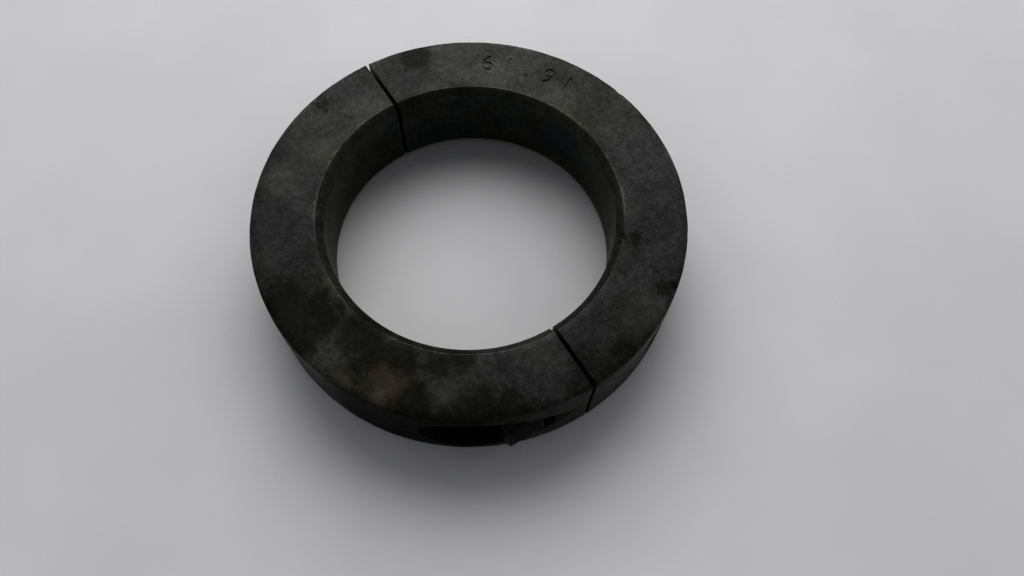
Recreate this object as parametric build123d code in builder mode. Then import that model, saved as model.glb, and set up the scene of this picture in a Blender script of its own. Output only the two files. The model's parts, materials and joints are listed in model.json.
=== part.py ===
from build123d import *
import os

# Split clamp collar for a round shaft, in millimetres.
# Two half rings close around the shaft and two opposed cap screws draw them together.
# The origin is on the bore's axis, level with the collar's lower face. +Z runs along the bore,
# and the split lies along X, so each screw runs along Y, one beside each end of the split.

# Ring
BORE_DIAMETER = 61.9125  # shaft size, 2-7/16 in
RING_WALL = 15.08125  # from the bore to the rim, 19/32 in
RING_WIDTH = 19.05  # along the shaft, 3/4 in
SPLIT_GAP = 0.8  # between the halves when the collar is on its shaft
BORE_CHAMFER = 1.5875  # lead-in at both ends of the bore, 1/16 in
RIM_CHAMFER = 0.45  # edge break around the outside

# Cap screw, 5/16-24 UNF by 1 in, with a quarter-inch key
THREAD_DIAMETER = 7.9375
SCREW_LENGTH = 25.4  # under the head
THREAD_TIP_CHAMFER = 0.7
HEAD_DIAMETER = 11.91
HEAD_HEIGHT = 7.9375
HEAD_EDGE_FILLET = 0.5
KEY_FLATS = 6.35  # across the socket's flats
KEY_DEPTH = 4.0
KEY_DRILL_POINT = 1.6  # depth of the drill point below the flats
DRILL_POINT_TAPER = 60  # degrees from the axis

# Where a screw sits in its half ring
RIM_TO_SCREW = 6.7875  # from the rim in to the screw's axis, along the split
SEAT_THICKNESS = 7.8  # metal between the split face and the head's seat
HEAD_STANDOFF = 2.3  # the screws are backed off their seats by this much

# Clearances, each on one side
HEAD_CLEARANCE = 0.6  # head in its counterbore
SHANK_CLEARANCE = 0.25  # shank in its drilled hole
THREAD_CLEARANCE = 0.05  # thread in its tapped hole, both taken at the major diameter
TAP_COUNTERSINK = 0.6  # depth and extra radius at the mouth of the tapped hole
COUNTERSINK_TAPER = 45  # degrees from the axis

# Worked out from the sizes above
BORE_RADIUS = BORE_DIAMETER / 2
RIM_RADIUS = BORE_RADIUS + RING_WALL
SCREW_OFFSET = RIM_RADIUS - RIM_TO_SCREW
MID_WIDTH = RING_WIDTH / 2
THREAD_RADIUS = THREAD_DIAMETER / 2
HEAD_RADIUS = HEAD_DIAMETER / 2
TAPPED_RADIUS = THREAD_RADIUS + THREAD_CLEARANCE
DRILLED_RADIUS = THREAD_RADIUS + SHANK_CLEARANCE
COUNTERBORE_RADIUS = HEAD_RADIUS + HEAD_CLEARANCE
HEAD_SEAT = SPLIT_GAP / 2 + SEAT_THICKNESS  # from the split's middle to the seat
HEAD_UNDERSIDE = HEAD_SEAT + HEAD_STANDOFF  # from the split's middle to the backed-off head


def split_face(outward):
    """The plane of one half's split faces: its normal points into that half, its y along the bore."""
    return Plane(
        origin=(0, outward * SPLIT_GAP / 2, 0),
        x_dir=(-outward, 0, 0),
        z_dir=(0, outward, 0),
    )


def drill_pocket(face):
    """The drilled hole for a screw's shank and the counterbore for its head, open to the rim."""
    with BuildSketch(face) as drilled:
        with Locations((SCREW_OFFSET, MID_WIDTH)):
            Circle(DRILLED_RADIUS)
    extrude(drilled.sketch, amount=RIM_RADIUS, mode=Mode.SUBTRACT)
    with BuildSketch(face.offset(SEAT_THICKNESS)) as counterbore:
        with Locations((SCREW_OFFSET, MID_WIDTH)):
            Circle(COUNTERBORE_RADIUS)
    extrude(counterbore.sketch, amount=RIM_RADIUS, mode=Mode.SUBTRACT)


def tap_hole(face):
    """The tapped hole that the other half's screw threads into, right through to the rim."""
    with BuildSketch(face) as tapped:
        with Locations((-SCREW_OFFSET, MID_WIDTH)):
            Circle(TAPPED_RADIUS)
    extrude(tapped.sketch, amount=RIM_RADIUS, mode=Mode.SUBTRACT)
    with BuildSketch(face) as mouth:
        with Locations((-SCREW_OFFSET, MID_WIDTH)):
            Circle(TAPPED_RADIUS + TAP_COUNTERSINK)
    extrude(mouth.sketch, amount=TAP_COUNTERSINK, taper=COUNTERSINK_TAPER, mode=Mode.SUBTRACT)


def half_ring(outward):
    """One half of the collar: outward is -1 for the half on -Y and 1 for the half on +Y."""
    face = split_face(outward)
    with BuildPart() as half:
        with BuildSketch(Plane.XY):
            Circle(RIM_RADIUS)
            Circle(BORE_RADIUS, mode=Mode.SUBTRACT)
        extrude(amount=RING_WIDTH)
        circles = half.edges().filter_by(GeomType.CIRCLE).sort_by(SortBy.RADIUS)
        chamfer(circles[:2], length=BORE_CHAMFER)
        circles = half.edges().filter_by(GeomType.CIRCLE).sort_by(SortBy.RADIUS)
        chamfer(circles[-2:], length=RIM_CHAMFER)
        split(bisect_by=face, keep=Keep.TOP)
        drill_pocket(face)
        tap_hole(face)
    return half


def cap_screw(outward):
    """One socket-head cap screw, its head towards outward along Y and its shank across the split."""
    underside = Plane(
        origin=(-outward * SCREW_OFFSET, outward * HEAD_UNDERSIDE, MID_WIDTH),
        x_dir=(-outward, 0, 0),
        z_dir=(0, outward, 0),
    )
    towards_head = Axis(underside.origin, underside.z_dir)
    with BuildPart() as screw:
        with BuildSketch(underside):
            Circle(THREAD_RADIUS)
        extrude(amount=-SCREW_LENGTH)
        tip = screw.edges().filter_by(GeomType.CIRCLE).sort_by(towards_head)[0]
        chamfer(tip, length=THREAD_TIP_CHAMFER)
        with BuildSketch(underside):
            Circle(HEAD_RADIUS)
        extrude(amount=HEAD_HEIGHT)
        head_edge = screw.edges().filter_by(GeomType.CIRCLE).sort_by(towards_head)[-1]
        fillet(head_edge, radius=HEAD_EDGE_FILLET)
        with BuildSketch(underside.offset(HEAD_HEIGHT)):
            RegularPolygon(radius=KEY_FLATS / 2, side_count=6, major_radius=False)
        extrude(amount=-KEY_DEPTH, mode=Mode.SUBTRACT)
        with BuildSketch(underside.offset(HEAD_HEIGHT - KEY_DEPTH)):
            Circle(KEY_FLATS / 2)
        extrude(amount=-KEY_DRILL_POINT, taper=DRILL_POINT_TAPER, mode=Mode.SUBTRACT)
    return screw


# The front half is on -Y, with its screw's head at +X; the rear half is the same part turned about
# the bore's axis, so the left screw's head is at -X, on +Y.
front_half = half_ring(-1)
front_half.part.label = "front_half"

rear_half = half_ring(1)
rear_half.part.label = "rear_half"

right_screw = cap_screw(-1)
right_screw.part.label = "right_screw"

left_screw = cap_screw(1)
left_screw.part.label = "left_screw"

os.makedirs("parts", exist_ok=True)
export_step(front_half.part, "parts/front_half.step")
export_step(rear_half.part, "parts/rear_half.step")
export_step(right_screw.part, "parts/right_screw.step")
export_step(left_screw.part, "parts/left_screw.step")

for piece in (front_half, rear_half, right_screw, left_screw):
    size = piece.part.bounding_box().size
    volume = piece.part.volume
    print(piece.part.label, f"{size.X:.2f} x {size.Y:.2f} x {size.Z:.2f} mm, volume {volume:.0f} mm3")
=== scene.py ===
# %% [markdown]
# # A split shaft collar
# A split shaft collar is a short steel ring, sawn into two half rings. A cap screw beside each end of
# the split draws the halves together around a shaft. The designer's model gives every size and place,
# so this lesson starts by loading it, and each piece below is shaped around what it says.

# %% Load the designer's model
import bpy
import json
import math
import random
from mathutils import Matrix, Vector


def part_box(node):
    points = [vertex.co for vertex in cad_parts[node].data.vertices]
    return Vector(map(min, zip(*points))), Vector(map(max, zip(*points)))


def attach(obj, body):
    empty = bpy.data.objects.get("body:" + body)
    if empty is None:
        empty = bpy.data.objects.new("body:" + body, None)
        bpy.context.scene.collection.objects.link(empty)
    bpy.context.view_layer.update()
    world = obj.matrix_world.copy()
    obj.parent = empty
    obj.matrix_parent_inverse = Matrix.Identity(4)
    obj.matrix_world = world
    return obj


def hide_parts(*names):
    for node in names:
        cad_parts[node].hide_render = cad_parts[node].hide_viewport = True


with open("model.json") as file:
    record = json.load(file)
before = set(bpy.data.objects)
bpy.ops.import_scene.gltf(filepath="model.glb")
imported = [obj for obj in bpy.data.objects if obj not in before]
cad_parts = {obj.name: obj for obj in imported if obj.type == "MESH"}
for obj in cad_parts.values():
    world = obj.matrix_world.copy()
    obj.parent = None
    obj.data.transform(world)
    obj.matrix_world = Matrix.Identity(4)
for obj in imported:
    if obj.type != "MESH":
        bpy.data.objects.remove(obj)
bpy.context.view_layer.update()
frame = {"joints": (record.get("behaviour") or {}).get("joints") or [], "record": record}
MM = 0.001

# %% [markdown]
# Sizes are read from the model where it states them: the bore from its mount, the ring from its box, and
# the screws' places from their joints. What no record says, such as a chamfer or a thread's pitch, is
# named here once.

# %% Sizes that the model gives
mounts = {mount["name"]: mount for mount in frame["record"]["mounts"]}
joints = {joint["name"]: joint for joint in frame["joints"]}
couplings = {row["joint"]: row for row in frame["record"]["behaviour"]["couplings"]}

BORE_RADIUS = mounts["shaft_clamp"]["dims"]["r_mm"] * MM
BORE_WALL = mounts["shaft_clamp"]["dims"]["length_mm"] * MM
RING_LOW, RING_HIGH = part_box("front_half")
RING_WIDTH = RING_HIGH.z - RING_LOW.z
RIM_RADIUS = -RING_LOW.y
SPLIT_FACE = -RING_HIGH.y  # from the middle of the split to a half's sawn face
BORE_CHAMFER = (RING_WIDTH - BORE_WALL) / 2
SCREW_PLACE = Vector(joints["right_screw_turn"]["pos_m"])  # on its axis, under the head
SCREW_LOW, SCREW_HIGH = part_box("right_screw")
HEAD_RADIUS = (SCREW_HIGH.z - SCREW_LOW.z) / 2
HEAD_HEIGHT = SCREW_PLACE.y - SCREW_LOW.y
SCREW_LENGTH = SCREW_HIGH.y - SCREW_PLACE.y
PITCH = 2 * math.pi / couplings["right_screw_turn"]["ratio"]
print("bore", BORE_RADIUS, "rim", RIM_RADIUS, "width", RING_WIDTH, "split face", SPLIT_FACE)
print("head", HEAD_RADIUS, HEAD_HEIGHT, "screw", SCREW_LENGTH, "pitch", PITCH)

# %% [markdown]
# The rest are the rim's edge break, the drawn sizes of a 5/16 in screw with 24 threads to the inch, and
# the holes that a shop drills, counterbores and taps for it. A thread's depth follows from its pitch.

# %% Sizes that it doesn't
RIM_CHAMFER = 0.45 * MM
THREAD_RADIUS = 3.96875 * MM
THREAD_DEPTH = 0.6134 * PITCH
TAP_CLEARANCE = 0.05 * MM  # between a screw's thread and the tapped one, on the radius
DRILLED_RADIUS = 4.21875 * MM
COUNTERBORE_RADIUS = 6.555 * MM
HEAD_SEAT = 8.2 * MM  # from the middle of the split to the bottom of the counterbore
KEY_FLATS = 6.35 * MM
KEY_DEPTH = 4.0 * MM
KEY_POINT = 1.6 * MM  # the drill point below the socket's flat floor
print("thread", THREAD_RADIUS, "deep", THREAD_DEPTH, "pocket", COUNTERBORE_RADIUS, "seat", HEAD_SEAT)

# %% [markdown]
# Blender's modelling operators act on whatever is selected, so a few small helpers come first. They pick
# one object, open it for editing, and choose its vertices, edges or faces by where they are.

# %% Helpers for modelling
def only(piece):
    """Makes piece the one selected and active object."""
    bpy.ops.object.select_all(action="DESELECT")
    piece.select_set(True)
    bpy.context.view_layer.objects.active = piece
    return piece


def edit(piece, mode="VERT"):
    """Opens piece in edit mode with nothing selected."""
    only(piece)
    bpy.ops.object.mode_set(mode="EDIT")
    bpy.ops.mesh.select_mode(type=mode)
    bpy.ops.mesh.select_all(action="DESELECT")


def choose(piece, kind, test):
    """Selects the vertices, edges or faces of piece that pass test, and says how many did."""
    bpy.ops.object.mode_set(mode="OBJECT")
    chosen = [item for item in getattr(piece.data, kind) if test(item)]
    for item in chosen:
        item.select = True
    bpy.ops.object.mode_set(mode="EDIT")
    return len(chosen)


def done(piece, name=None):
    """Closes edit mode and fixes the piece's place into its mesh."""
    if bpy.context.mode != "OBJECT":
        bpy.ops.object.mode_set(mode="OBJECT")
    only(piece)
    bpy.ops.object.transform_apply(location=True, rotation=True, scale=True)
    if name:
        piece.name = name
        piece.data.name = name
    return piece


def ends_of(piece, edge):
    """The two end points of an edge."""
    return [piece.data.vertices[i].co for i in edge.vertices]


def edge_length(piece, edge):
    """How long an edge is."""
    start, end = ends_of(piece, edge)
    return (end - start).length


def add_modifier(piece, kind, **settings):
    """Adds one modifier with its settings and applies it."""
    only(piece)
    modifier = piece.modifiers.new(kind.title(), kind)
    for key, value in settings.items():
        setattr(modifier, key, value)
    bpy.ops.object.modifier_apply(modifier=modifier.name)
    return piece


def combine(piece, tool, operation):
    """Unites, cuts or intersects piece with tool, and removes the tool."""
    add_modifier(piece, "BOOLEAN", operation=operation, object=tool, solver="EXACT")
    bpy.data.objects.remove(tool)
    return piece


def copy_of(piece, name):
    """A copy of piece with its own mesh."""
    only(piece)
    bpy.ops.object.duplicate()
    copy = bpy.context.object
    copy.name = name
    copy.data.name = name
    return copy


def turn_about_bore(piece, degrees):
    """Turns piece about the bore's axis, in its mesh."""
    piece.data.transform(Matrix.Rotation(math.radians(degrees), 4, "Z"))
    return piece


def open_edges(piece):
    """How many edges of piece don't join exactly two faces."""
    count = {}
    for face in piece.data.polygons:
        for key in face.edge_keys:
            count[key] = count.get(key, 0) + 1
    return sum(1 for n in count.values() if n != 2)


def report(piece):
    """Prints what piece is made of."""
    piece.data.calc_loop_triangles()
    print(piece.name, len(piece.data.loop_triangles), "triangles,", open_edges(piece), "open edges")


# %% [markdown]
# ## The half ring
# On the real collar a ring is turned on a lathe and then sawn in two. The same steps work here: draw the
# ring's cross-section once, with its corners already broken, and spin it half way round. That puts one
# neat loop of vertices along every edge, which a plain cylinder with a hole cut in it wouldn't have, and
# the edges can be worn later by moving those loops.

# %% Draw the cross-section and spin it
SPIN_STEPS = 246
SAW_ANGLE = math.radians(1.4)  # the spin stops this short of the split, and the ends are drawn to it
SOFTENED = 0.15 * MM  # how far a chamfer's own corners are rubbed down
LONG_SIDE = 5 * MM
SIDE_CUTS = 8


def ring_section():
    """The ring's cross-section: a rectangle with its corners broken, standing on the +X side."""
    wall = RIM_RADIUS - BORE_RADIUS
    middle = (BORE_RADIUS + wall / 2, 0, RING_WIDTH / 2)
    bpy.ops.mesh.primitive_plane_add(size=1, location=middle, rotation=(math.pi / 2, 0, 0))
    section = bpy.context.object
    section.scale = (wall, RING_WIDTH, 1)
    done(section, "half_ring")
    edit(section)
    choose(section, "vertices", lambda v: v.co.x < BORE_RADIUS + wall / 2)
    bpy.ops.mesh.bevel(offset=BORE_CHAMFER, segments=1, affect="VERTICES")
    bpy.ops.mesh.select_all(action="DESELECT")
    choose(section, "vertices", lambda v: v.co.x > BORE_RADIUS + wall / 2)
    bpy.ops.mesh.bevel(offset=RIM_CHAMFER, segments=3, affect="VERTICES")
    bpy.ops.mesh.select_all(action="DESELECT")
    choose(section, "vertices", lambda v: v.co.x < BORE_RADIUS + 1.5 * BORE_CHAMFER)
    bpy.ops.mesh.bevel(offset=SOFTENED, segments=2, affect="VERTICES")
    return section


def cut_long_edges(section):
    """Cuts the section's four long sides, so that wide faces get loops of their own."""
    bpy.ops.mesh.select_mode(type="EDGE")
    bpy.ops.mesh.select_all(action="DESELECT")
    choose(section, "edges", lambda e: edge_length(section, e) > LONG_SIDE)
    bpy.ops.mesh.subdivide(number_cuts=SIDE_CUTS)


def spin_half(section):
    """Spins the section's outline through the lower half turn, stopping short of the sawn faces."""
    bpy.ops.mesh.select_all(action="SELECT")
    bpy.ops.mesh.delete(type="ONLY_FACE")
    bpy.ops.mesh.select_all(action="SELECT")
    bpy.ops.transform.rotate(value=SAW_ANGLE, orient_axis="Z", center_override=(0, 0, 0))
    bpy.ops.mesh.spin(
        steps=SPIN_STEPS,
        angle=math.pi - 2 * SAW_ANGLE,
        center=(0, 0, 0),
        axis=(0, 0, 1),
    )
    bpy.ops.mesh.select_all(action="DESELECT")


def close_ends(half):
    """Draws both open ends out to the sawn plane and closes each one with a flat face."""
    for side in (1, -1):
        bpy.ops.object.mode_set(mode="OBJECT")
        edit(half)
        slope = math.tan(SAW_ANGLE)
        choose(
            half,
            "vertices",
            lambda v: v.co.x * side > 0 and abs(v.co.y + abs(v.co.x) * slope) < 0.01 * MM,
        )
        bpy.ops.mesh.extrude_edges_move()
        bpy.ops.transform.resize(value=(1, 0, 1), center_override=(0, -SPLIT_FACE, 0))
        bpy.ops.mesh.edge_face_add()
    bpy.ops.mesh.select_all(action="SELECT")
    bpy.ops.mesh.normals_make_consistent(inside=False)
    bpy.ops.object.mode_set(mode="OBJECT")
    return half


half_blank = ring_section()
cut_long_edges(half_blank)
spin_half(half_blank)
close_ends(half_blank)
report(half_blank)

# %% [markdown]
# ## Worn edges
# A collar that has been dropped in a drawer of other steel has no perfect edge left. A Displace modifier
# with a cloud pattern, held to the loops along the edges, rubs them down unevenly. It only ever takes
# metal away, so the ring stays inside its real size.

# %% Rub the edges down
WEAR_DEPTH = 0.16 * MM
WEAR_GRAIN = 3.5 * MM
EDGE_BAND = 0.9 * MM
SAW_BREAK = 0.06 * MM


def near_an_edge(point):
    """Whether a point lies on one of the four broken edges of the ring, clear of the sawn faces."""
    radius = math.hypot(point.x, point.y)
    beside_face = min(point.z, RING_WIDTH - point.z) < EDGE_BAND
    beside_wall = min(RIM_RADIUS - radius, radius - BORE_RADIUS) < EDGE_BAND
    return beside_face and beside_wall and point.y < -2.5 * SPLIT_FACE


def rub_edges(half):
    """Wears the broken edges of half away unevenly."""
    worn = half.vertex_groups.new(name="edges")
    worn.add([v.index for v in half.data.vertices if near_an_edge(v.co)], 1.0, "REPLACE")
    clouds = bpy.data.textures.new("edge_wear", "CLOUDS")
    clouds.noise_scale = WEAR_GRAIN
    clouds.noise_depth = 3
    add_modifier(
        half,
        "DISPLACE",
        texture=clouds,
        texture_coords="LOCAL",
        vertex_group="edges",
        strength=WEAR_DEPTH,
        mid_level=1.0,
    )
    half.vertex_groups.clear()


def break_saw_edges(half):
    """Takes the sharp corner off the outline of both sawn faces."""
    edit(half, "EDGE")
    on_saw_plane = lambda p: abs(p.y + SPLIT_FACE) < 0.002 * MM
    choose(half, "edges", lambda e: all(on_saw_plane(p) for p in ends_of(half, e)))
    bpy.ops.mesh.bevel(offset=SAW_BREAK, segments=1, affect="EDGES")
    done(half)


rub_edges(half_blank)
break_saw_edges(half_blank)
report(half_blank)

# %% [markdown]
# ## The thread
# A thread is one V-shaped tooth wound round and round. The Screw modifier does exactly that to a profile
# one pitch tall, and merging the turns where they meet gives a single surface. The same form, a
# twentieth of a millimetre larger, is the tap that cuts the hole, so the screw really runs in it.

# %% Wind a thread
THREAD_STEPS = 48
FLANK_RUN = THREAD_DEPTH * math.tan(math.radians(30))
CREST_FLAT = PITCH / 8


def wind_thread(name, outside, bottom, top):
    """A right-hand thread along +Z between two heights, closed at both ends."""
    root = outside - THREAD_DEPTH
    first = math.floor(bottom / PITCH) - 1
    turns = math.ceil(top / PITCH) + 1 - first
    tooth = [
        (root, 0, 0),
        (outside, 0, FLANK_RUN),
        (outside, 0, FLANK_RUN + CREST_FLAT),
        (root, 0, 2 * FLANK_RUN + CREST_FLAT),
        (root, 0, PITCH),
    ]
    profile = bpy.data.meshes.new(name)
    profile.from_pydata(tooth, [(i, i + 1) for i in range(4)], [])
    profile.transform(Matrix.Translation((0, 0, first * PITCH)))
    thread = bpy.data.objects.new(name, profile)
    bpy.context.collection.objects.link(thread)
    add_modifier(
        thread,
        "SCREW",
        axis="Z",
        angle=2 * math.pi,
        screw_offset=PITCH,
        iterations=turns,
        steps=THREAD_STEPS,
        render_steps=THREAD_STEPS,
    )
    edit(thread)
    bpy.ops.mesh.select_all(action="SELECT")
    bpy.ops.mesh.remove_doubles(threshold=0.002 * MM)
    for height, outer in ((top, True), (bottom, False)):
        bpy.ops.mesh.select_all(action="SELECT")
        bpy.ops.mesh.bisect(
            plane_co=(0, 0, height),
            plane_no=(0, 0, 1),
            threshold=0.0001 * MM,
            use_fill=True,
            clear_outer=outer,
            clear_inner=not outer,
        )
    bpy.ops.mesh.select_all(action="SELECT")
    bpy.ops.mesh.normals_make_consistent(inside=False)
    done(thread, name)
    return thread


TAP_RADIUS = THREAD_RADIUS + TAP_CLEARANCE
TAP_ENDS = (-44 * MM, -10 * MM)  # heights under the screw's head: beyond the rim, and past the sawn face
tap = wind_thread("tap", TAP_RADIUS, *TAP_ENDS)
report(tap)

# %% [markdown]
# ## Drill, counterbore and tap
# The half ring is cut the way a machinist cuts it, with round tools along the screws' axes: Boolean
# modifiers take a drill, a counterbore and a tap away from the blank. Both screws share one set of
# tools, because the second place is the first one turned half way round the bore.

# %% Cut the screw holes
ROUND = 96
DRILL_OVERRUN = 5 * MM
COUNTERBORE_TOP = 60 * MM
MOUTH_EASE = 0.15 * MM


def stand_in_hole(tool, turned=False):
    """Lays a tool that was made along +Z on a screw's axis: the right screw's, or turned, the left's."""
    tool.data.transform(Matrix.Rotation(math.pi / 2, 4, "X"))
    tool.data.transform(Matrix.Translation(SCREW_PLACE))
    if turned:
        turn_about_bore(tool, 180)
    return tool


def round_tool(name, radius, bottom, top, tip_radius=None):
    """A round cutter along +Z between two heights, straight or tapered to tip_radius at its top."""
    bpy.ops.mesh.primitive_cone_add(
        vertices=ROUND,
        radius1=radius,
        radius2=radius if tip_radius is None else tip_radius,
        depth=top - bottom,
        location=(0, 0, (bottom + top) / 2),
    )
    return done(bpy.context.object, name)


TO_SPLIT = -SCREW_PLACE.y - SPLIT_FACE  # from under the head down to this half's sawn face
TO_SEAT = -SCREW_PLACE.y - HEAD_SEAT
drill = round_tool("drill", DRILLED_RADIUS, -TO_SPLIT - DRILL_OVERRUN, 0)
counterbore = round_tool("counterbore", COUNTERBORE_RADIUS, -TO_SEAT, COUNTERBORE_TOP)
combine(half_blank, stand_in_hole(drill), "DIFFERENCE")
combine(half_blank, stand_in_hole(counterbore), "DIFFERENCE")
combine(half_blank, stand_in_hole(tap, turned=True), "DIFFERENCE")
report(half_blank)


def ease_pocket_mouth(half):
    """Takes the sharp edge off where the counterbore breaks out of the rim."""
    edit(half, "EDGE")
    axis = Vector((SCREW_PLACE.x, 0, SCREW_PLACE.z))

    def on_mouth(point):
        from_axis = math.hypot(point.x - axis.x, point.z - axis.z)
        from_bore = math.hypot(point.x, point.y)
        return abs(from_axis - COUNTERBORE_RADIUS) < 0.02 * MM and abs(from_bore - RIM_RADIUS) < 0.03 * MM

    count = choose(half, "edges", lambda e: all(on_mouth(p) for p in ends_of(half, e)))
    bpy.ops.mesh.bevel(offset=MOUTH_EASE, segments=2, affect="EDGES")
    done(half)
    print("mouth edges", count)


ease_pocket_mouth(half_blank)
report(half_blank)

# %% [markdown]
# ## The second half
# Both halves of a real collar come from one ring and are drilled in one fixture, so the rear half is the
# front half turned half way round the bore. It is copied before the dents and the mark, which differ.

# %% Make the second half
front = half_blank
front.name = "front_half_ring"
rear = turn_about_bore(copy_of(front, "rear_half_ring"), 180)
print("halves", front.name, rear.name)

# %% [markdown]
# ## Dents
# Knocks leave small shallow facets on the outer edges. Spheres that just break the surface cut them.

# %% Knock dents into the edges
random.seed(7)
KNOCK_OUT = 2.6 * MM  # how far outside the rim a ball's centre stands, less the dent's depth
KNOCK_UP = KNOCK_OUT * 0.6  # and how far above or below the ring's face
KNOCK_RADIUS = KNOCK_OUT * 1.28


def knock(half, places):
    """Cuts one shallow facet at each place: an angle about the bore in degrees, a height and a depth."""
    for degrees, height, depth in places:
        reach = RIM_RADIUS + KNOCK_OUT - depth
        angle = math.radians(degrees)
        beyond = math.copysign(KNOCK_UP, height - RING_WIDTH / 2)
        place = (reach * math.cos(angle), reach * math.sin(angle), height + beyond)
        bpy.ops.mesh.primitive_ico_sphere_add(subdivisions=3, radius=KNOCK_RADIUS, location=place)
        combine(half, done(bpy.context.object, "knock"), "DIFFERENCE")


front_knocks = [(-48.2, RING_WIDTH, 0.35 * MM), (-95, RING_WIDTH, 0.2 * MM), (-141, 0, 0.3 * MM)]
rear_knocks = [(12, RING_WIDTH, 0.3 * MM), (66, 0, 0.3 * MM), (101, RING_WIDTH, 0.2 * MM)]
knock(front, front_knocks)
knock(rear, rear_knocks)
report(front)
report(rear)

# %% [markdown]
# ## The size mark
# The bore size is struck into the rear half's upper face, one stamp at a time, so no two digits stand
# quite straight. Each is a Text object made into a mesh and cut out of the face.

# %% Strike the bore size
MARK = f"{2 * BORE_RADIUS / MM:.2f}"
MARK_HEIGHT = 4.6 * MM
MARK_RADIUS = 37.6 * MM
MARK_START = 143
MARK_STEP = -7.0
MARK_DEPTH = 0.22 * MM
MARK_THINNING = 0.03 * MM  # each stroke is drawn in by this much
MARK_LEAN = 4  # degrees either way
CAPITAL = 0.72  # a digit's height as a share of the font's size


def strike(half, character, degrees, lean):
    """Cuts one character into the upper face, its foot towards the bore."""
    bpy.ops.object.text_add()
    letter = bpy.context.object
    letter.data.body = character
    letter.data.size = MARK_HEIGHT / CAPITAL
    letter.data.align_x = "CENTER"
    letter.data.offset = -MARK_THINNING
    letter.data.extrude = MARK_DEPTH
    only(letter)
    bpy.ops.object.convert(target="MESH")
    letter = bpy.context.object
    edit(letter)
    bpy.ops.mesh.select_all(action="SELECT")
    bpy.ops.mesh.remove_doubles(threshold=0.001 * MM)
    bpy.ops.mesh.normals_make_consistent(inside=False)
    bpy.ops.object.mode_set(mode="OBJECT")
    angle = math.radians(degrees)
    turn = Matrix.Rotation(angle - math.pi / 2 + math.radians(lean), 4, "Z")
    foot = (MARK_RADIUS * math.cos(angle), MARK_RADIUS * math.sin(angle), RING_WIDTH)
    letter.data.transform(Matrix.Translation(foot) @ turn)
    combine(half, letter, "DIFFERENCE")


for i, character in enumerate(MARK):
    strike(rear, character, MARK_START + i * MARK_STEP, random.uniform(-MARK_LEAN, MARK_LEAN))
print("struck", MARK)
report(rear)

# %% [markdown]
# ## The cap screws
# A socket-head cap screw is a knurled cylinder with a hexagon socket, on a threaded shank. It is made
# standing on its shank at the origin, with its head up, and laid on its axis at the end. The knurl is a
# ring of grooves, made by drawing every other column of the head's wall in a little.

# %% Make the head
KNURL_COLUMNS = 120
KNURL_DEPTH = 0.12 * MM
KNURL_ENDS = (0.7 * MM, 6.9 * MM)
KNURL_RUN = 0.15 * MM  # how far a groove takes to reach its depth
HEAD_EDGE = 0.5 * MM
HEAD_FOOT = 0.25 * MM
SOCKET_EASE = 0.12 * MM


def round_edges(piece, height, width, segments):
    """Bevels the edges of piece that lie level at one height."""
    edit(piece, "EDGE")
    level = lambda p: abs(p.z - height) < 0.001 * MM
    choose(piece, "edges", lambda e: all(level(p) for p in ends_of(piece, e)))
    bpy.ops.mesh.bevel(offset=width, segments=segments, affect="EDGES")
    done(piece)


def knurl(head):
    """Cuts straight grooves into the head's wall."""
    low, high = KNURL_ENDS
    edit(head)
    for height in (low, low + KNURL_RUN, high - KNURL_RUN, high):
        bpy.ops.mesh.select_all(action="SELECT")
        bpy.ops.mesh.bisect(plane_co=(0, 0, height), plane_no=(0, 0, 1), threshold=0.0001 * MM)
    bpy.ops.mesh.select_all(action="DESELECT")
    column = lambda p: round(math.degrees(math.atan2(p.y, p.x)) * KNURL_COLUMNS / 360)
    on_wall = lambda p: low + KNURL_RUN / 2 < p.z < high - KNURL_RUN / 2
    choose(head, "vertices", lambda v: on_wall(v.co) and column(v.co) % 2 == 1)
    groove = (HEAD_RADIUS - KNURL_DEPTH) / HEAD_RADIUS
    bpy.ops.transform.resize(value=(groove, groove, 1), center_override=(0, 0, 0))
    done(head)


def make_head():
    """The head, with its socket cut."""
    bpy.ops.mesh.primitive_cylinder_add(
        vertices=KNURL_COLUMNS,
        radius=HEAD_RADIUS,
        depth=HEAD_HEIGHT,
        location=(0, 0, HEAD_HEIGHT / 2),
    )
    head = done(bpy.context.object, "right_cap_screw")
    knurl(head)
    round_edges(head, HEAD_HEIGHT, HEAD_EDGE, 5)
    round_edges(head, 0, HEAD_FOOT, 2)
    corner = KEY_FLATS / 2 / math.cos(math.radians(30))
    bpy.ops.mesh.primitive_cylinder_add(
        vertices=6,
        radius=corner,
        depth=KEY_DEPTH + MM,
        location=(0, 0, HEAD_HEIGHT - KEY_DEPTH / 2 + MM / 2),
    )
    combine(head, done(bpy.context.object, "key"), "DIFFERENCE")
    floor = HEAD_HEIGHT - KEY_DEPTH
    point = round_tool("point", 0.01 * MM, floor - KEY_POINT, floor + 0.1 * MM, KEY_FLATS / 2)
    combine(head, point, "DIFFERENCE")
    edit(head, "EDGE")
    on_mouth = lambda p: abs(p.z - HEAD_HEIGHT) < 0.001 * MM and math.hypot(p.x, p.y) < corner + 0.01 * MM
    choose(head, "edges", lambda e: all(on_mouth(p) for p in ends_of(head, e)))
    bpy.ops.mesh.bevel(offset=SOCKET_EASE, segments=2, affect="EDGES")
    return done(head)


right_screw = make_head()
report(right_screw)

# %% [markdown]
# The shank is the thread from before, cut to length and chamfered by intersecting it with a plain
# round blank. A smooth neck joins it to the head.

# %% Make the shank and lay the screws on their axes
NECK = 1.7 * MM  # the plain part under the head
TIP_CHAMFER = 0.7 * MM


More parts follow.
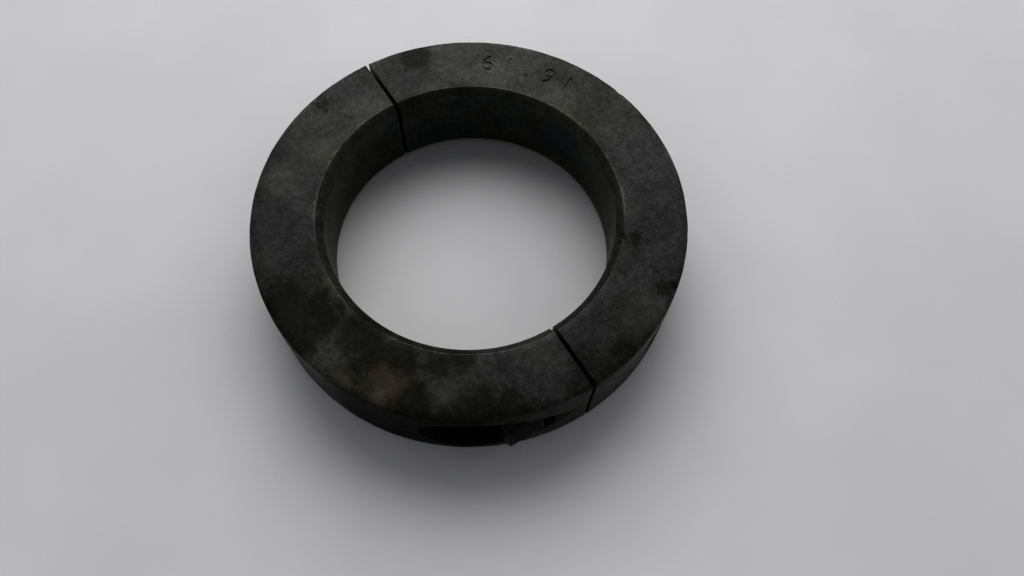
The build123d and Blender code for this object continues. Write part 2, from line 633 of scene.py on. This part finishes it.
def make_shank():
    """The threaded shank, from inside the head down to its chamfered tip."""
    thread = wind_thread("thread", THREAD_RADIUS, -SCREW_LENGTH - PITCH, -NECK + PITCH / 2)
    blank = round_tool("blank", THREAD_RADIUS + 0.02 * MM, -SCREW_LENGTH, MM)
    round_edges(blank, -SCREW_LENGTH, TIP_CHAMFER, 1)
    combine(thread, blank, "INTERSECT")
    neck = round_tool("neck", THREAD_RADIUS - 0.03 * MM, -NECK, 0.2 * MM)
    root = THREAD_RADIUS - THREAD_DEPTH
    round_edges(neck, -NECK, THREAD_RADIUS - root, 1)
    return combine(neck, thread, "UNION")


combine(right_screw, make_shank(), "UNION")
stand_in_hole(right_screw)
left_screw = turn_about_bore(copy_of(right_screw, "left_cap_screw"), 180)
report(right_screw)
report(left_screw)

# %% [markdown]
# ## Shading
# Wide faces stay flat and round ones smooth: edges sharper than 30 degrees are kept crisp.

# %% Smooth the round surfaces
for piece in (front, rear, right_screw, left_screw):
    only(piece)
    bpy.ops.object.shade_smooth_by_angle(angle=math.radians(30))
    print(piece.name, "smooth")

# %% [markdown]
# ## The oxide finish
# The ring's finish is a black oxide, a thin dark film that steel grows in a hot salt bath. Years of
# oil, fingers and damp have turned it patchy: olive where oil has dried, purple-grey where the film is
# thin, near black where grease has stayed. The material is built the same way, one layer over another,
# all in object coordinates so that the marks stay on the metal when it moves.

# %% Helpers for materials
def node(tree, kind, inputs, output=0, **settings):
    """Adds one shader node, sets or joins its inputs, and gives back one of its outputs."""
    made = tree.nodes.new(kind)
    for key, value in settings.items():
        setattr(made, key, value)
    for key, value in inputs.items():
        if isinstance(value, bpy.types.NodeSocket):
            tree.links.new(value, made.inputs[key])
        else:
            made.inputs[key].default_value = value
    return made.outputs[output]


def sum_of(tree, a, b):
    """Adds two values."""
    return node(tree, "ShaderNodeMath", {0: a, 1: b}, operation="ADD")


def product(tree, a, b):
    """Multiplies two values."""
    return node(tree, "ShaderNodeMath", {0: a, 1: b}, operation="MULTIPLY")


def larger(tree, a, b):
    """The larger of two values."""
    return node(tree, "ShaderNodeMath", {0: a, 1: b}, operation="MAXIMUM")


def step(tree, value, start, end, low=0.0, high=1.0):
    """Goes smoothly from low to high as value goes from start to end."""
    inputs = {"Value": value, "From Min": start, "From Max": end, "To Min": low, "To Max": high}
    return node(tree, "ShaderNodeMapRange", inputs, interpolation_type="SMOOTHSTEP")


def cloud(tree, where, size, detail=3.0, roughness=0.55, warp=0.0):
    """Cloudy noise whose blotches are about size metres across."""
    inputs = {
        "Vector": where,
        "Scale": 1 / size,
        "Detail": detail,
        "Roughness": roughness,
        "Distortion": warp,
    }
    return node(tree, "ShaderNodeTexNoise", inputs)


def tint(tree, amount, under, over):
    """Lays one colour over another by amount."""
    return node(tree, "ShaderNodeMix", {0: amount, 6: under, 7: over}, output=2, data_type="RGBA")


def shade(tree, colour, brightness):
    """Makes a colour brighter or darker."""
    return node(tree, "ShaderNodeVectorMath", {0: colour, "Scale": brightness}, operation="SCALE")


def relief(tree, height, depth, strength, normal=None):
    """Turns a height into a bump of depth metres."""
    inputs = {"Height": height, "Distance": depth, "Strength": strength}
    if normal:
        inputs["Normal"] = normal
    return node(tree, "ShaderNodeBump", inputs)


def new_material(name):
    """An empty node material, its shader and its tree."""
    material = bpy.data.materials.new(name)
    material.use_nodes = True
    return material, material.node_tree, material.node_tree.nodes["Principled BSDF"]


# %% [markdown]
# The marks that anyone would know this ring by are listed one by one, each as an angle about the bore, a
# distance out from the bore's wall and a size. A cloud added to each one's distance gives it a ragged
# edge.

# %% The marks on the upper face
GREASE = (  # degrees, millimetres out from the bore's wall, radius in millimetres
    (3, 12.5, 4.6),
    (11, 13.5, 3.2),
    (33, 13.0, 1.8),
    (46, 3.2, 1.5),
    (166, 12.5, 3.8),
    (199, 12.5, 1.4),
    (270, 12.0, 6.4),
    (277, 8.0, 5.5),
    (281, 13.0, 3.4),
    (293, 4.2, 5.6),
    (299, 6.8, 4.8),
    (306, 4.6, 4.6),
    (314, 12.3, 4.2),
    (318, 3.4, 3.6),
    (325, 14.0, 3.2),
    (331, 12.0, 4.4),
    (339, 13.0, 3.4),
    (325, 1.6, 3.2),
)
THIN_FILM = (
    (5, 5.5, 7.5),
    (20, 6.0, 8.0),
    (36, 8.5, 7.0),
    (52, 7.5, 8.5),
    (68, 6.5, 8.5),
    (81, 8.0, 6.0),
    (168, 8.0, 5.0),
    (189, 12.0, 4.0),
    (218, 11.0, 5.0),
    (228, 7.5, 7.5),
    (243, 8.0, 8.5),
    (256, 6.0, 6.0),
    (287, 12.0, 3.5),
    (322, 7.5, 6.0),
    (335, 4.0, 6.0),
    (349, 8.0, 8.5),
)
PALE = (
    (25, 12.5, 5.0),
    (120, 3.0, 4.5),
    (140, 4.2, 6.0),
    (155, 12.0, 6.0),
    (163, 1.2, 2.2),
    (190, 2.0, 5.0),
    (212, 4.0, 6.5),
    (228, 9.5, 4.0),
    (286, 11.0, 4.0),
    (323, 9.0, 4.4),
    (330, 6.0, 3.6),
    (352, 3.5, 4.0),
)
RUST = ((305.5, 11.2, 3.3), (302.5, 9.0, 1.9), (309.0, 9.2, 2.0), (295.0, 13.4, 1.6))


def marks(tree, where, rows, ragged, soft):
    """How strongly a list of round marks shows at a point, from 0 to 1."""
    strongest = None
    for degrees, out, radius in rows:
        angle = math.radians(degrees)
        reach = BORE_RADIUS + out * MM
        centre = (reach * math.cos(angle), reach * math.sin(angle), RING_WIDTH)
        away = node(tree, "ShaderNodeVectorMath", {0: where, 1: centre}, output=1, operation="DISTANCE")
        away = sum_of(tree, away, ragged)
        mark = step(tree, away, radius * (1 + soft) * MM, radius * (1 - soft) * MM)
        strongest = mark if strongest is None else larger(tree, strongest, mark)
    return strongest


# %% [markdown]
# Wear follows the edges. The ring's edges are known by radius and height, so the distance to the nearest
# one is worked out from the two, and the film is thinnest where that distance is least. The worn band is
# widened on the lamp's side, where it is partly a painted highlight. Old oil follows the screws: it has
# gathered and blackened in their holes.

# %% Wear and old oil
WEAR_AND_HIGHLIGHT_SIDE = 150  # degrees about the bore: the lamp's side, where the worn edges are widened as painted highlights
OILY_SIDE = 314  # the rim beside the right screw's pocket
BLUE_SHEEN_SIDE = 135  # the bore's far wall, where a blue sheen is painted into the colour
RIM_REFLECTION_SIDE = 9  # the rim beside the split, where a painted reflection of the pale table makes it paler


def towards(tree, where, degrees):
    """How far a point lies towards one side of the ring, in metres from the bore's axis."""
    side = (math.cos(math.radians(degrees)), math.sin(math.radians(degrees)), 0)
    return node(tree, "ShaderNodeVectorMath", {0: where, 1: side}, output=1, operation="DOT_PRODUCT")


def on_rim_wall(tree, radius):
    """1 on the ring's outer wall and 0 inside it."""
    return step(tree, radius, RIM_RADIUS - 0.3 * MM, RIM_RADIUS - 0.1 * MM)


def edge_wear(tree, where, radius, height):
    """How worn the film is, from the distance to the nearest edge of the ring; widened on the lamp's side
    as a painted highlight.
    """
    side = towards(tree, where, WEAR_AND_HIGHLIGHT_SIDE)
    chip = cloud(tree, where, 1.3 * MM, 4.0, 0.65)
    long_chip = cloud(tree, where, 9 * MM, 2.0)
    reach = step(tree, long_chip, 0.35, 0.7, 0.08 * MM, 0.75 * MM)
    reach = product(tree, reach, step(tree, chip, 0.3, 0.75, 0.2, 1.9))
    # Wider on the lamp's side: partly real wear, partly a painted highlight on the edges that face the
    # lamp.
    reach = product(tree, reach, step(tree, side, -12 * MM, 8 * MM, 0.35, 1.25))
    wear_and_highlight = None
    corners = (
        (BORE_RADIUS + BORE_CHAMFER, RING_WIDTH),
        (BORE_RADIUS, RING_WIDTH - BORE_CHAMFER),
        (BORE_RADIUS + BORE_CHAMFER, 0),
        (BORE_RADIUS, BORE_CHAMFER),
        (RIM_RADIUS - RIM_CHAMFER / 2, RING_WIDTH - RIM_CHAMFER / 2),
        (RIM_RADIUS - RIM_CHAMFER / 2, RIM_CHAMFER / 2),
    )
    point = node(tree, "ShaderNodeCombineXYZ", {"X": radius, "Y": height})
    for corner_radius, corner_height in corners:
        corner = (corner_radius, corner_height, 0)
        away = node(tree, "ShaderNodeVectorMath", {0: point, 1: corner}, output=1, operation="DISTANCE")
        away = node(tree, "ShaderNodeMath", {0: away, 1: reach}, operation="DIVIDE")
        mark = step(tree, away, 1.0, 0.35)
        wear_and_highlight = mark if wear_and_highlight is None else larger(tree, wear_and_highlight, mark)
    return wear_and_highlight


def old_oil(tree, where, x, y, z, radius):
    """Where oil has gathered and blackened: in the screw holes, and on the rim beside the right screw."""
    aside = node(tree, "ShaderNodeMath", {0: x}, operation="ABSOLUTE")
    around = node(tree, "ShaderNodeCombineXYZ", {"X": aside, "Y": z})
    axis = (SCREW_PLACE.x, SCREW_PLACE.z, 0)
    away = node(tree, "ShaderNodeVectorMath", {0: around, 1: axis}, output=1, operation="DISTANCE")
    pocket_side = step(tree, product(tree, x, y), -0.5 * MM * MM, 0.5 * MM * MM, 1.0, 0.0)
    in_pocket = step(tree, away, COUNTERBORE_RADIUS + 0.15 * MM, COUNTERBORE_RADIUS + 0.05 * MM)
    in_hole = step(tree, away, DRILLED_RADIUS + 0.15 * MM, DRILLED_RADIUS + 0.05 * MM)
    oil = larger(tree, product(tree, pocket_side, in_pocket), in_hole)
    side = towards(tree, where, OILY_SIDE)
    patchy = step(tree, side, RIM_RADIUS * 0.88, RIM_RADIUS * 0.97, 0.0, 0.75)
    return larger(tree, oil, product(tree, on_rim_wall(tree, radius), patchy))


# %% [markdown]
# The layers go on in this order: the film, the pale patches, grease and oil, a blue sheen painted on the
# bore's wall, rust, a painted reflection on the rim beside the split, and last the worn edges, partly
# painted highlights on the lamp's side.

# %% Make the ring's finish
OLIVE = (0.022, 0.024, 0.014, 1)
PURPLE = (0.0180, 0.0174, 0.0188, 1)
GREASE_COLOUR = (0.006, 0.0065, 0.002, 1)
OIL_COLOUR = (0.0025, 0.0025, 0.0018, 1)
PALE_COLOUR = (0.040, 0.042, 0.031, 1)
WEAR_AND_HIGHLIGHT_COLOUR = (0.075, 0.076, 0.062, 1)
RUST_COLOUR = (0.078, 0.058, 0.040, 1)
BLUE_SHEEN_COLOUR = (0.020, 0.034, 0.046, 1)


def oxide_finish():
    """Patchy black oxide for the ring."""
    material, tree, shader = new_material("oxided_ring_steel")
    where = node(tree, "ShaderNodeTexCoord", {}, output="Object")
    x, y, z = (node(tree, "ShaderNodeSeparateXYZ", {0: where}, output=axis) for axis in "XYZ")
    flat = node(tree, "ShaderNodeCombineXYZ", {"X": x, "Y": y})
    radius = node(tree, "ShaderNodeVectorMath", {0: flat}, output=1, operation="LENGTH")

    ragged = step(tree, cloud(tree, where, 2.6 * MM, 5.0, 0.65), 0.2, 0.8, -2.2 * MM, 2.2 * MM)
    blotch = cloud(tree, where, 9 * MM, 5.0, 0.6, 0.6)
    thin = marks(tree, where, THIN_FILM, ragged, 0.5)
    thin = product(tree, thin, step(tree, blotch, 0.25, 0.5, 0.35, 1.0))
    mottle = cloud(tree, where, 3.0 * MM, 6.0, 0.68)
    fleck = cloud(tree, where, 1.2 * MM, 5.0, 0.7)
    grain = cloud(tree, where, 0.5 * MM, 3.0, 0.7)
    film = step(tree, blotch, 0.32, 0.68, 0.82, 1.20)
    film = product(tree, film, step(tree, mottle, 0.32, 0.68, 0.82, 1.20))
    film = product(tree, film, step(tree, fleck, 0.32, 0.7, 0.80, 1.28))
    film = product(tree, film, step(tree, grain, 0.25, 0.75, 0.86, 1.15))
    colour = shade(tree, tint(tree, thin, OLIVE, PURPLE), film)

    pale = marks(tree, where, PALE, ragged, 0.7)
    colour = tint(tree, product(tree, pale, 0.55), colour, PALE_COLOUR)
    oil = old_oil(tree, where, x, y, z, radius)
    grease = larger(tree, marks(tree, where, GREASE, ragged, 0.5), oil)
    colour = tint(tree, product(tree, grease, 0.72), colour, GREASE_COLOUR)
    colour = tint(tree, product(tree, oil, 0.85), colour, OIL_COLOUR)

    in_bore = step(tree, radius, BORE_RADIUS + 0.3 * MM, BORE_RADIUS + 0.05 * MM)
    # Painted sheen: a blue sheen on the bore's far wall, laid in as colour.
    blue = step(tree, cloud(tree, where, 16 * MM, 2.0), 0.42, 0.6)
    blue = product(tree, blue, step(tree, towards(tree, where, BLUE_SHEEN_SIDE), 12 * MM, 24 * MM))
    colour = shade(tree, colour, step(tree, in_bore, 0.0, 1.0, 1.0, 1.7))
    colour = tint(tree, product(tree, in_bore, product(tree, blue, 0.6)), colour, BLUE_SHEEN_COLOUR)

    rust = marks(tree, where, RUST, product(tree, ragged, 0.6), 0.6)
    rust = product(tree, rust, step(tree, mottle, 0.3, 0.65, 0.2, 0.7))
    colour = tint(tree, rust, colour, RUST_COLOUR)

    # Painted reflection: the rim wall beside the split is made paler, where it would mirror the pale
    # table.
    side = towards(tree, where, RIM_REFLECTION_SIDE)
    painted_rim_reflection = step(tree, side, RIM_RADIUS * 0.93, RIM_RADIUS * 0.995)
    painted_rim_reflection = product(tree, on_rim_wall(tree, radius), painted_rim_reflection)
    colour = tint(tree, product(tree, painted_rim_reflection, 0.5), colour, PALE_COLOUR)

    wear_and_highlight = edge_wear(tree, where, radius, z)
    # Paler worn edges: real wear, and on the lamp's side also painted highlights.
    colour = tint(tree, product(tree, wear_and_highlight, 0.6), colour, WEAR_AND_HIGHLIGHT_COLOUR)

    roughness = step(tree, mottle, 0.3, 0.7, 0.38, 0.50)
    roughness = sum_of(tree, roughness, product(tree, rust, 0.15))
    roughness = sum_of(tree, roughness, product(tree, wear_and_highlight, -0.12))
    tree.links.new(colour, shader.inputs["Base Color"])
    tree.links.new(roughness, shader.inputs["Roughness"])
    tree.links.new(product(tree, wear_and_highlight, 0.45), shader.inputs["Metallic"])
    gloss = product(tree, film, step(tree, grease, 0.0, 1.0, 0.24, 0.13))
    gloss = product(tree, gloss, step(tree, pale, 0.0, 1.0, 1.0, 1.25))
    gloss = product(tree, gloss, step(tree, oil, 0.0, 1.0, 1.0, 0.35))
    tree.links.new(gloss, shader.inputs["Specular IOR Level"])

    turned = node(tree, "ShaderNodeCombineXYZ", {"X": radius, "Y": z, "Z": product(tree, x, 0.01)})
    marks_of_tool = cloud(tree, turned, 0.22 * MM, 2.0)
    bump = relief(tree, marks_of_tool, 0.012 * MM, 0.35)
    bump = relief(tree, grain, 0.05 * MM, 0.35, bump)
    bump = relief(tree, mottle, 0.10 * MM, 0.4, bump)
    pit = node(tree, "ShaderNodeTexVoronoi", {"Vector": where, "Scale": 1 / (1.6 * MM), "Randomness": 1.0})
    bump = relief(tree, step(tree, pit, 0.05, 0.22), 0.05 * MM, 0.5, bump)
    tree.links.new(bump, shader.inputs["Normal"])
    return material


oxided_steel = oxide_finish()
print(oxided_steel.name, len(oxided_steel.node_tree.nodes), "nodes")

# %% [markdown]
# The screws are hardened alloy steel under the same kind of film, but from another maker and wet with
# oil, so they are blacker than the ring. Dust has stuck to the oil in places and dulled it.

# %% Make the screws' finish
def screw_finish():
    """Oily black oxide for the screws."""
    material, tree, shader = new_material("oiled_screw_steel")
    where = node(tree, "ShaderNodeTexCoord", {}, output="Object")
    blotch = cloud(tree, where, 3.0 * MM, 4.0, 0.6)
    fine = cloud(tree, where, 0.45 * MM, 3.0, 0.7)
    black = (0.008, 0.008, 0.009, 1)
    dusty = (0.024, 0.024, 0.018, 1)
    colour = tint(tree, step(tree, blotch, 0.5, 0.68, 0.0, 0.8), black, dusty)
    colour = shade(tree, colour, step(tree, fine, 0.25, 0.75, 0.75, 1.3))
    roughness = step(tree, blotch, 0.42, 0.65, 0.32, 0.58)
    tree.links.new(colour, shader.inputs["Base Color"])
    tree.links.new(roughness, shader.inputs["Roughness"])
    shader.inputs["Metallic"].default_value = 0.1
    shader.inputs["Specular IOR Level"].default_value = 0.18
    bump = relief(tree, fine, 0.02 * MM, 0.4)
    tree.links.new(bump, shader.inputs["Normal"])
    return material


oiled_steel = screw_finish()
print(oiled_steel.name, len(oiled_steel.node_tree.nodes), "nodes")

# %% [markdown]
# ## Which piece is which
# Each shaped piece takes its finish, rides on the body that it belongs to, and stands in for that body's
# plain piece in the designer's model.

# %% Give the pieces their finishes
PIECES = (
    (front, "front_half", "ring_steel", oxided_steel),
    (rear, "rear_half", "ring_steel", oxided_steel),
    (right_screw, "right_screw", "screw_steel", oiled_steel),
    (left_screw, "left_screw", "screw_steel", oiled_steel),
)
for piece, body, slot, finish in PIECES:
    piece.data.materials.clear()
    piece.data.materials.append(finish)
    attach(piece, body)
    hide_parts(body)
    print(piece.name, "rides on", body)

# %% [markdown]
# ## The floor, the light and the camera
# The collar lies on a matt white table, which is wide enough to fill the view from low angles too.

# %% Lay the floor
TABLE_SIDE = 12


def floor_finish():
    """Matt white paint, a little uneven."""
    material, tree, shader = new_material("white_table")
    where = node(tree, "ShaderNodeTexCoord", {}, output="Object")
    broad = cloud(tree, where, 60 * MM, 3.0)
    colour = tint(tree, step(tree, broad, 0.3, 0.7), (0.72, 0.715, 0.73, 1), (0.77, 0.765, 0.775, 1))
    tree.links.new(colour, shader.inputs["Base Color"])
    shader.inputs["Roughness"].default_value = 0.6
    shader.inputs["Specular IOR Level"].default_value = 0.25
    return material


bpy.ops.mesh.primitive_plane_add(size=TABLE_SIDE)
table = done(bpy.context.object, "table")
table.data.materials.append(floor_finish())
print(table.name, TABLE_SIDE)

# %% [markdown]
# One large soft lamp stands behind the collar and to its left, so its short shadow falls forward, and
# the pale room fills the rest. The oiled upper face mirrors the room, so where the room is bright counts
# as much as where the lamp is: it is dark straight above and brightest low down on the lamp's side.

# %% Light the scene
WINDOW = Vector((-0.70, 0.44, 0.56))  # the side of the room that is bright; straight above is dark

bpy.ops.object.light_add(type="AREA", location=(-0.30, 0.18, 0.42))
lamp = bpy.context.object
lamp.data.shape = "DISK"
lamp.data.size = 0.5
lamp.data.energy = 0.6
lamp.data.spread = math.radians(130)
lamp.data.color = (1.0, 0.995, 0.98)
lamp.rotation_euler = (Vector((-0.03, 0.02, 0)) - lamp.location).to_track_quat("-Z", "Y").to_euler()

world = bpy.data.worlds.new("pale_room")
bpy.context.scene.world = world
world.use_nodes = True
room = world.node_tree
direction = node(room, "ShaderNodeTexCoord", {}, output="Generated")
height = node(room, "ShaderNodeSeparateXYZ", {0: direction}, output="Z")
towards_window = node(
    room, "ShaderNodeVectorMath", {0: direction, 1: WINDOW}, output=1, operation="DOT_PRODUCT"
)
strength = step(room, towards_window, -0.2, 1.0, 0.20, 0.80)
strength = product(room, strength, step(room, height, 0.96, 0.68, 0.05, 1.0))
background = room.nodes["Background"]
background.inputs["Color"].default_value = (0.96, 0.97, 1.0, 1)
room.links.new(strength, background.inputs["Strength"])
print("lamp", tuple(lamp.location))

# %% [markdown]
# The camera looks down from the front and right, close in, through a short lens, so the near side of the
# ring looks a little larger than the far side. The look adds the contrast of a small camera.

# %% Place the camera
bpy.ops.object.camera_add(location=(0.0767, -0.0416, 0.16402))
camera = bpy.context.object
camera.rotation_euler = [math.radians(a) for a in (25.383, -1.0526, 57.4756)]
camera.data.lens = 28.035
camera.data.sensor_width = 36
camera.data.clip_start = 0.005
bpy.context.scene.camera = camera
bpy.context.scene.view_settings.view_transform = "Standard"
bpy.context.scene.view_settings.look = "High Contrast"
print("camera", tuple(camera.location))
